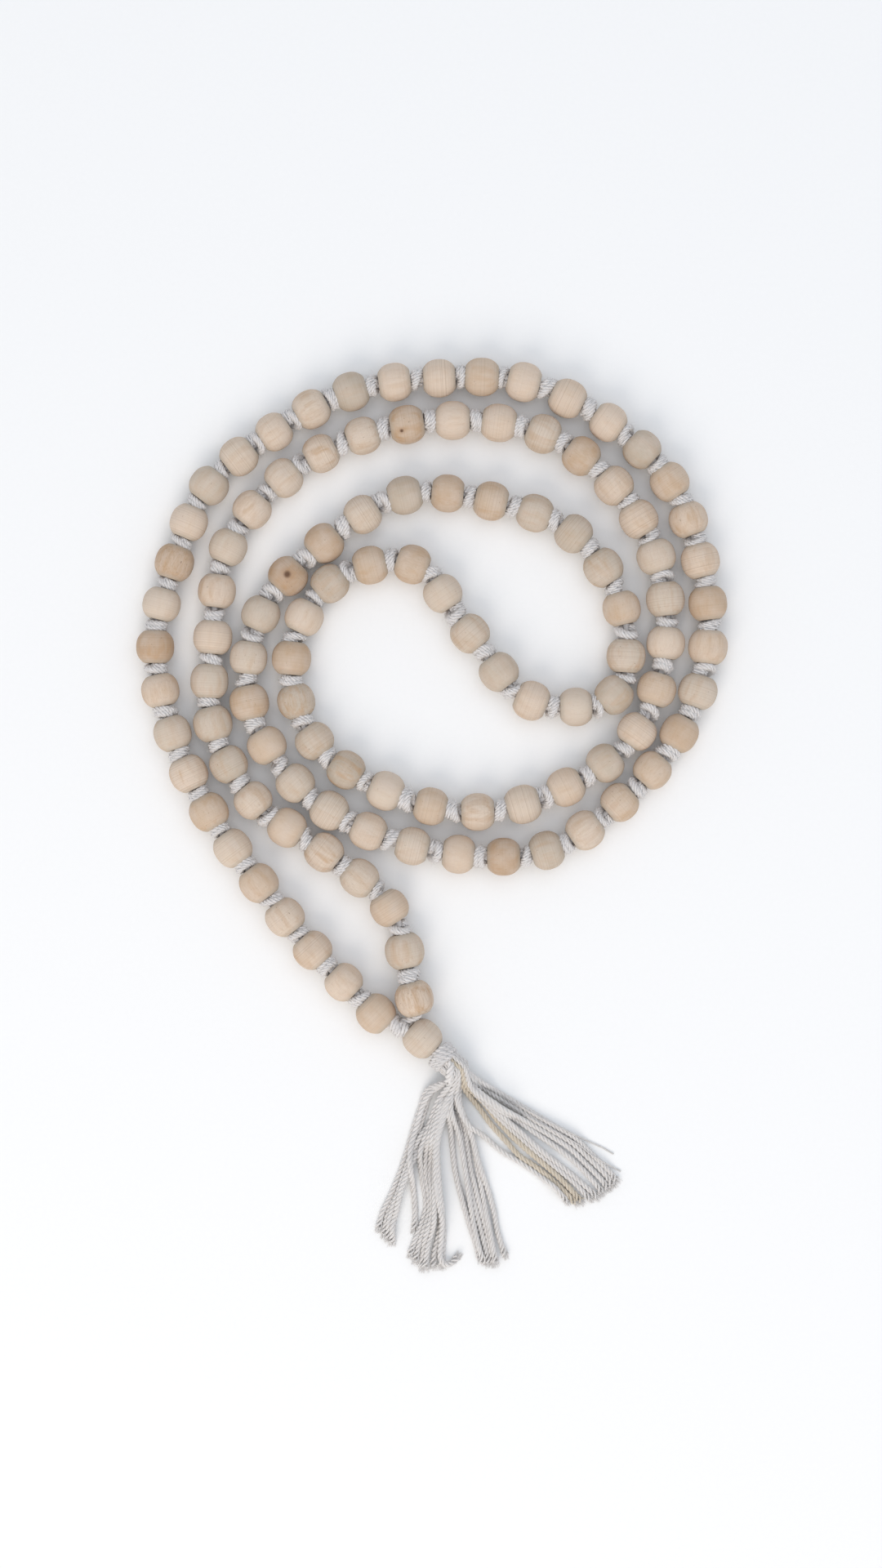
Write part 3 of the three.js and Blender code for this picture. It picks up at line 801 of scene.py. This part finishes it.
# %% Helpers for the materials
def linear(hex_colour):
    """An sRGB hex colour as linear red, green, blue and alpha."""
    parts = [int(hex_colour[i : i + 2], 16) / 255 for i in (1, 3, 5)]
    return (*(c / 12.92 if c <= 0.04045 else ((c + 0.055) / 1.055) ** 2.4 for c in parts), 1)


def add(material, kind, inputs=None, **settings):
    """Adds a node to the material, with its settings, and fills or links its inputs."""
    made = material.node_tree.nodes.new(kind)
    for key, value in settings.items():
        setattr(made, key, value)
    for key, value in (inputs or {}).items():
        if isinstance(value, bpy.types.NodeSocket):
            material.node_tree.links.new(value, made.inputs[key])
        else:
            made.inputs[key].default_value = value
    return made


def new_material(name):
    """A material with no nodes yet."""
    made = bpy.data.materials.new(name)
    made.use_nodes = True
    made.node_tree.nodes.clear()
    return made


def steps(ramp, stops):
    """Sets a colour ramp's stops: places with hex colours."""
    elements = ramp.color_ramp.elements
    for i, (place, colour) in enumerate(stops):
        element = elements[i] if i < len(elements) else elements.new(place)
        element.position, element.color = place, linear(colour)


# %% [markdown]
# ## Raw wood
# The beads are pale hardwood, turned and tumbled but never sealed. Raw wood is dielectric and matt: roughness
# about 0.8 and an IOR of 1.5. Light goes a little way in, which softens it. Four things show at this size: growth
# bands that run along the bore, 1 to 2 mm apart; fibres of about 0.15 mm, drawn at 0.25 mm so that they show; the
# lathe's fine grooves round the bead, about 0.3 mm apart; and pores and specks of 0.1 to 0.3 mm. The ends are
# painted greyer, as painted shade where the knots press against them; the rim of the drilled hole has torn, tan
# fibres, and two beads have a branch's dark round mark. One noise can't be all of that, so each pattern is a noise
# with its own size and direction, and the colour is built up from them in layers.

# %% What a bead's attributes tell the wood
wood = new_material("raw_turned_hardwood")
place = add(wood, "ShaderNodeAttribute", attribute_name="bead_place").outputs["Vector"]
kind = add(wood, "ShaderNodeAttribute", attribute_name="bead_kind").outputs["Vector"]
seed, tone, grain = add(wood, "ShaderNodeSeparateXYZ", {0: kind}).outputs
seeds = add(wood, "ShaderNodeCombineXYZ", {0: seed, 1: seed, 2: seed}).outputs[0]
shift = add(wood, "ShaderNodeVectorMath", {0: seeds, 1: (7.31, 3.17, 5.71)}, operation="MULTIPLY").outputs[0]
own = add(wood, "ShaderNodeVectorMath", {0: place, 1: shift}, operation="ADD").outputs[0]
along_bore = add(wood, "ShaderNodeSeparateXYZ", {0: place}).outputs["Y"]

# some beads left the lathe ringed, and on the others the fibres show
share = add(wood, "ShaderNodeMath", {0: seed, 1: 0.618}, operation="MULTIPLY").outputs[0]
ringed = add(wood, "ShaderNodeMath", {0: share}, operation="FRACT").outputs[0]
fibred = add(wood, "ShaderNodeMath", {0: 1.0, 1: ringed}, operation="SUBTRACT").outputs[0]
print("a bead's own place, kind and share of rings:", len(wood.node_tree.nodes), "nodes")


# %% Patterns in the wood
along_grain = add(wood, "ShaderNodeVectorMath", {0: own, 1: (1, 0.14, 1)}, operation="MULTIPLY").outputs[0]
along_pores = add(wood, "ShaderNodeVectorMath", {0: own, 1: (1, 0.45, 1)}, operation="MULTIPLY").outputs[0]
along_lathe = add(wood, "ShaderNodeMath", {0: along_bore, 1: seed}, operation="ADD").outputs[0]
bands = add(wood, "ShaderNodeTexNoise", {
    "Vector": along_grain, "Scale": 0.55, "Detail": 3.0, "Roughness": 0.55, "Distortion": 0.6}).outputs["Fac"]
fibres = add(wood, "ShaderNodeTexNoise", {
    "Vector": along_grain, "Scale": 4.0, "Detail": 3.0, "Roughness": 0.7}).outputs["Fac"]
grooves = add(wood, "ShaderNodeTexNoise", {
    "W": along_lathe, "Scale": 3.2, "Detail": 2.0, "Roughness": 0.6}, noise_dimensions="1D").outputs["Fac"]
blotches = add(wood, "ShaderNodeTexNoise", {
    "Vector": own, "Scale": 0.22, "Detail": 2.0, "Roughness": 0.5}).outputs["Fac"]
pores = add(wood, "ShaderNodeTexNoise", {
    "Vector": along_pores, "Scale": 2.6, "Detail": 1.0, "Roughness": 0.5}).outputs["Fac"]
print("noises:", sum(node.type == "TEX_NOISE" for node in wood.node_tree.nodes))


# %% Painted shade at the ends, torn rim and branch marks
# the last millimetres towards each flat end are painted greyer: painted shade where the knots press against the bead
from_middle = add(wood, "ShaderNodeMath", {0: along_bore}, operation="ABSOLUTE").outputs[0]
end = add(wood, "ShaderNodeMapRange", {
    "Value": from_middle, "From Min": 2.9, "From Max": 4.5}, interpolation_type="SMOOTHSTEP").outputs[0]
across_bore = add(wood, "ShaderNodeVectorMath", {0: place, 1: (1, 0, 1)}, operation="MULTIPLY").outputs[0]
from_bore = add(wood, "ShaderNodeVectorMath", {0: across_bore}, operation="LENGTH").outputs["Value"]
ragged = add(wood, "ShaderNodeMath", {0: fibres, 1: 1.6}, operation="MULTIPLY").outputs[0]
rim = add(wood, "ShaderNodeMath", {0: from_bore, 1: ragged}, operation="SUBTRACT").outputs[0]
torn = add(wood, "ShaderNodeMapRange", {"Value": rim, "From Min": 1.7, "From Max": 0.6}).outputs[0]

# a branch's mark is a dark middle about 1 mm across, in a stain that runs out over 2.5 mm
to_mark = add(wood, "ShaderNodeAttribute", attribute_name="from_mark").outputs["Vector"]
from_mark = add(wood, "ShaderNodeVectorMath", {0: to_mark}, operation="LENGTH").outputs["Value"]
stain = add(wood, "ShaderNodeMapRange", {
    "Value": from_mark, "From Min": 2.6, "From Max": 0.9, "To Max": 0.35}).outputs[0]
uneven = add(wood, "ShaderNodeMath", {0: blotches, 1: 0.6}, operation="MULTIPLY").outputs[0]
blurred = add(wood, "ShaderNodeMath", {0: from_mark, 1: uneven}, operation="ADD").outputs[0]
core = add(wood, "ShaderNodeMapRange", {
    "Value": blurred, "From Min": 1.5, "From Max": 0.75, "To Max": 0.9}).outputs[0]
print("branch marks:", len(KNOT_MARKS))


# %% The wood's colours, in layers
base = add(wood, "ShaderNodeValToRGB", {"Fac": tone})
steps(base, [(0.0, "#b5a999"), (0.25, "#d2c3b2"), (0.5, "#d9c6b3"), (0.75, "#c9b39c"), (1.0, "#b4967a")])
coarse = []  # bands, fibres and pores show a little on every bead, and more where its grain is coarse
for more, least in ((0.75, 0.12), (0.6, 0.1), (0.6, 0.15)):
    coarse.append(add(wood, "ShaderNodeMath", {0: grain, 1: more, 2: least}, operation="MULTIPLY_ADD",
                      use_clamp=True).outputs[0])
band_share, fibre_share, pore_share = coarse
fibre_share = add(wood, "ShaderNodeMath", {0: fibred, 1: fibre_share}, operation="MULTIPLY").outputs[0]
groove_share = add(wood, "ShaderNodeMath", {0: ringed, 1: 0.45}, operation="MULTIPLY").outputs[0]
LAYERS = [  # a pattern, what it is times and plus, how much of it shows, and its colour
    (bands, 4.0, -1.75, band_share, "#b8936c"),
    (blotches, 1.6, -0.6, 1.0, "#d3c3b4"),
    (fibres, 3.0, -1.3, fibre_share, "#a88b6d"),
    (grooves, 3.2, -1.4, groove_share, "#a9937c"),
    # painted shade: the ends greyer, next to the knots
    (end, 1.0, 0.0, 0.55, "#aea596"),
    (torn, 1.0, 0.0, 0.75, "#94714d"),
    (pores, 16.0, -11.4, pore_share, "#7a6049"),
    (stain, 1.0, 0.0, 1.0, "#a07a58"),
    (core, 1.0, 0.0, 1.0, "#5e4230"),
]
colour = base.outputs["Color"]
for pattern, times, plus, shows, tint in LAYERS:
    clear = add(wood, "ShaderNodeMath", {0: pattern, 1: times, 2: plus}, operation="MULTIPLY_ADD",
                use_clamp=True).outputs[0]
    amount = add(wood, "ShaderNodeMath", {0: clear, 1: shows}, operation="MULTIPLY").outputs[0]
    colour = add(wood, "ShaderNodeMix", {0: amount, 6: colour, 7: linear(tint)}, data_type="RGBA").outputs[2]
print("layers of colour:", len(LAYERS))


# %% The wood's relief and shader
fibre_relief = add(wood, "ShaderNodeMath", {0: fibres, 1: fibred}, operation="MULTIPLY").outputs[0]
relief = add(wood, "ShaderNodeMath", {
    0: grooves, 1: ringed, 2: fibre_relief}, operation="MULTIPLY_ADD").outputs[0]
bump = add(wood, "ShaderNodeBump", {"Height": relief, "Strength": 0.35, "Distance": 0.08 * MM})
matt = add(wood, "ShaderNodeMapRange", {"Value": fibres, "To Min": 0.72, "To Max": 0.9}).outputs[0]
wood_shader = add(wood, "ShaderNodeBsdfPrincipled", {
    "Base Color": colour, "Roughness": matt, "IOR": 1.5, "Specular IOR Level": 0.35,
    "Subsurface Weight": 0.08, "Subsurface Scale": 0.6 * MM, "Subsurface Radius": (1, 0.7, 0.5),
    "Normal": bump.outputs[0]})
add(wood, "ShaderNodeOutputMaterial", {"Surface": wood_shader.outputs[0]})
print("wood:", len(wood.node_tree.nodes), "nodes")


# %% [markdown]
# ## White cord
# The cord is twisted from soft white yarn with a faint silky shine. Cotton and polyester have an IOR near 1.5, and
# a yarn is a bundle of fine fibres, so it is rough, about 0.65, with sheen at its edges. The fibres run along each
# ply. They are about 0.02 mm thick and are drawn at 0.12 mm. The UV map is in millimetres along and round a ply,
# so the pattern follows every turn of every knot. A few tassel cords are unbleached and look cream.

# %% Cord materials
def yarn(name, light, shade):
    """A twisted yarn: light for its fibres' crowns, shade for painted shade in the hollows between them and a soft
    mottle.
    """
    made = new_material(name)
    uv = add(made, "ShaderNodeUVMap", uv_map="UVMap").outputs[0]
    stretched = add(made, "ShaderNodeMapping", {
        "Vector": uv, "Rotation": (0, 0, 0.35), "Scale": (4.2, 0.5, 1)}).outputs[0]
    fibre = add(made, "ShaderNodeTexNoise", {
        "Vector": stretched, "Scale": 2.0, "Detail": 3.0, "Roughness": 0.65}, noise_dimensions="2D").outputs["Fac"]
    where = add(made, "ShaderNodeTexCoord").outputs["Object"]
    cloud = add(made, "ShaderNodeTexNoise", {"Vector": where, "Scale": 160.0, "Detail": 2.0}).outputs["Fac"]
    colour = linear(light)
    # the hollows between the fibres get the shade colour as painted shade; the cloud adds soft random patches of it
    for pattern, times, plus in ((fibre, 3.0, -1.0), (cloud, 0.5, -0.1)):
        amount = add(made, "ShaderNodeMath", {0: pattern, 1: times, 2: plus}, operation="MULTIPLY_ADD",
                     use_clamp=True).outputs[0]
        colour = add(made, "ShaderNodeMix", {0: amount, 6: colour, 7: linear(shade)}, data_type="RGBA").outputs[2]
    bump = add(made, "ShaderNodeBump", {"Height": fibre, "Strength": 0.8, "Distance": 0.1 * MM})
    soft = add(made, "ShaderNodeMapRange", {"Value": fibre, "To Min": 0.5, "To Max": 0.8}).outputs[0]
    shader = add(made, "ShaderNodeBsdfPrincipled", {
        "Base Color": colour, "Roughness": soft, "IOR": 1.5, "Sheen Weight": 0.25, "Sheen Roughness": 0.5,
        "Subsurface Weight": 0.3, "Subsurface Scale": 0.5 * MM, "Subsurface Radius": (1, 1, 1),
        "Normal": bump.outputs[0]})
    add(made, "ShaderNodeOutputMaterial", {"Surface": shader.outputs[0]})
    return made


white_yarn = yarn("white_twisted_yarn", "#eeebe9", "#d4cfcc")
tassel_yarn = yarn("white_combed_yarn", "#eeebe8", "#d6d1cd")
cream_yarn = yarn("unbleached_twisted_yarn", "#e0d6c8", "#cdc0aa")
print("yarns:", [made.name for made in (white_yarn, tassel_yarn, cream_yarn)])


# %% [markdown]
# ## What rides on what
# Each piece follows one rigid body of the CAD. The held beads and knots of a CAD run become one piece each, so that
# nothing comes apart. A knot on a fold line, the cords in the guru bead's lower end and the tassel's wrapped knot
# cross from one body to the next, so they follow none and stay where they are made.

# %% Beads and knots on their bodies
def finish_piece(piece, material):
    """Gives the piece its only material."""
    piece.data.materials.clear()
    piece.data.materials.append(material)
    return piece


def wear_wood(piece):
    return finish_piece(piece, wood)


def wear_cord(piece, material=white_yarn):
    return finish_piece(piece, material)


CAD_RUNS = {
    "coil_cord_1": (6, 13), "coil_cord_2": (27, 39), "coil_cord_3": (39, 49), "coil_cord_4": (49, 58),
    "coil_cord_5": (65, 73), "coil_cord_6": (73, 84), "coil_cord_7": (84, 95), "coil_cord_8": (95, 103),
    "outer_arc_cord": (14, 26), "centre_bight_cord": (59, 64), "tail_upper_left_cord": (4, 5),
    "tail_upper_right_cord": (104, 105), "tail_middle_left_cord": (2, 3), "tail_middle_right_cord": (106, 106),
}
for node, (first, last) in CAD_RUNS.items():
    body = body_of_bead[first]
    beads = [held_beads.pop(n) for n in range(first, last + 1) if n in held_beads]
    beads = wear_wood(joined(node.replace("cord", "beads"), beads))
    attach(beads, body)
    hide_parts(node)
    run_knots = [knot_pieces.pop(n) for n in range(first, last) if n in knot_pieces]
    if run_knots:
        run_knots = wear_cord(joined(node.replace("cord", "knots"), run_knots))
        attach(run_knots, body)
        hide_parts(node)

last_beads = wear_wood(joined("tail_lower_beads", [held_beads.pop(1), held_beads.pop(107)]))
wear_cord(joining_knot)
for piece in (last_beads, joining_knot):
    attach(piece, "tail_lower")
    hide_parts("tail_lower_cord")
for n, piece in loose_beads.items():
    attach(wear_wood(piece), f"loose_{n:03d}")
    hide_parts(f"bead_{n:03d}")
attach(wear_wood(guru_bead), "guru")
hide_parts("guru_bead")
print("left over:", sorted(held_beads), sorted(knot_pieces))


# %% Knots on the fold lines
for n, knot in fold_knots.items():
    a, b = bead_end(n, 1), bead_end(n + 1, -1)
    wear_cord(knot)
    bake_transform(knot)
    print(knot.name, "bends between", body_of_bead[n], "and", body_of_bead[n + 1])
wear_cord(neck)
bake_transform(neck)


# %% [markdown]
# ## The cords on their bodies
# Each strand run and tassel cord gets its yarn and rides on its body. The tassel cords leave the tassel knot and
# end bare, because they were cut. The strand's runs go back into the mala at both ends.

# %% The cords' yarns and bodies
for name, (first, last, body) in RUNS.items():
    piece, line = strands[name], cord_lines[name]
    wear_cord(piece)
    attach(piece, body)

CREAM = {"tassel_right_cords_1", "tassel_right_cords_2"}
for piece in tassel_cords + threads:
    name, line = piece.name, cord_lines[piece.name]
    group = name.rsplit("_", 1)[0]
    thread = piece in threads
    wear_cord(piece, cream_yarn if name in CREAM else tassel_yarn)
    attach(piece, "tassel")
    if not thread:
        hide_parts(group)
for piece in tufts.values():
    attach(wear_cord(piece, tassel_yarn), "tassel")
wear_cord(binding)
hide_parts("tassel_knot")
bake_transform(binding)
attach(wear_cord(binding_tail, tassel_yarn), "tassel")

for shape in (*knots, bead):
    bpy.data.objects.remove(shape)


# %% [markdown]
# ## Table and light
# The mala lies on a plain pale table. A wide soft light stands low on the left, nearer the tassel, and is a little
# warm. The open sky of a bluish grey world fills the rest, which makes the far side of each bead cooler.

# %% Table, light and world
only(camera)
bpy.ops.mesh.primitive_plane_add(size=4.0, location=(0, 0, 0))
table_top = bpy.context.active_object
table_top.name = "table_top"
paper = new_material("matt_white_paper")
where = add(paper, "ShaderNodeTexCoord").outputs["Object"]
speckle = add(paper, "ShaderNodeTexNoise", {"Vector": where, "Scale": 900.0, "Detail": 2.0}).outputs["Fac"]
faint = add(paper, "ShaderNodeMath", {0: speckle, 1: 0.3}, operation="MULTIPLY", use_clamp=True).outputs[0]
paper_colour = add(paper, "ShaderNodeMix", {
    0: faint, 6: linear("#f6f6f5"), 7: linear("#eeeeed")}, data_type="RGBA").outputs[2]
paper_shader = add(paper, "ShaderNodeBsdfPrincipled", {"Base Color": paper_colour, "Roughness": 0.9, "IOR": 1.45})
add(paper, "ShaderNodeOutputMaterial", {"Surface": paper_shader.outputs[0]})
table_top.data.materials.append(paper)


LIGHTS_FACE = Vector((0, 0.01, 0))


def soft_light(name, place, size, power, colour):
    """A square area light that faces the middle of the mala."""
    data = bpy.data.lights.new(name, "AREA")
    data.shape, data.size, data.energy = "SQUARE", size, power
    data.color = linear(colour)[:3]
    lamp = bpy.data.objects.new(name, data)
    lamp.location = place
    lamp.rotation_euler = (LIGHTS_FACE - Vector(place)).to_track_quat("-Z", "Y").to_euler()
    bpy.context.collection.objects.link(lamp)
    return lamp


soft_light("window", place=(-0.35, -1.0, 0.95), size=0.9, power=8.5, colour="#fff3e6")
soft_light("ceiling", place=(0.2, 0.3, 1.5), size=1.6, power=6.5, colour="#f0f5ff")
SKY_STRENGTH = 0.77
world = bpy.data.worlds.new("room")
bpy.context.scene.world = world
world.use_nodes = True
world.node_tree.nodes["Background"].inputs["Color"].default_value = linear("#e8edf4")
world.node_tree.nodes["Background"].inputs["Strength"].default_value = SKY_STRENGTH
bpy.context.scene.view_settings.view_transform = "Standard"
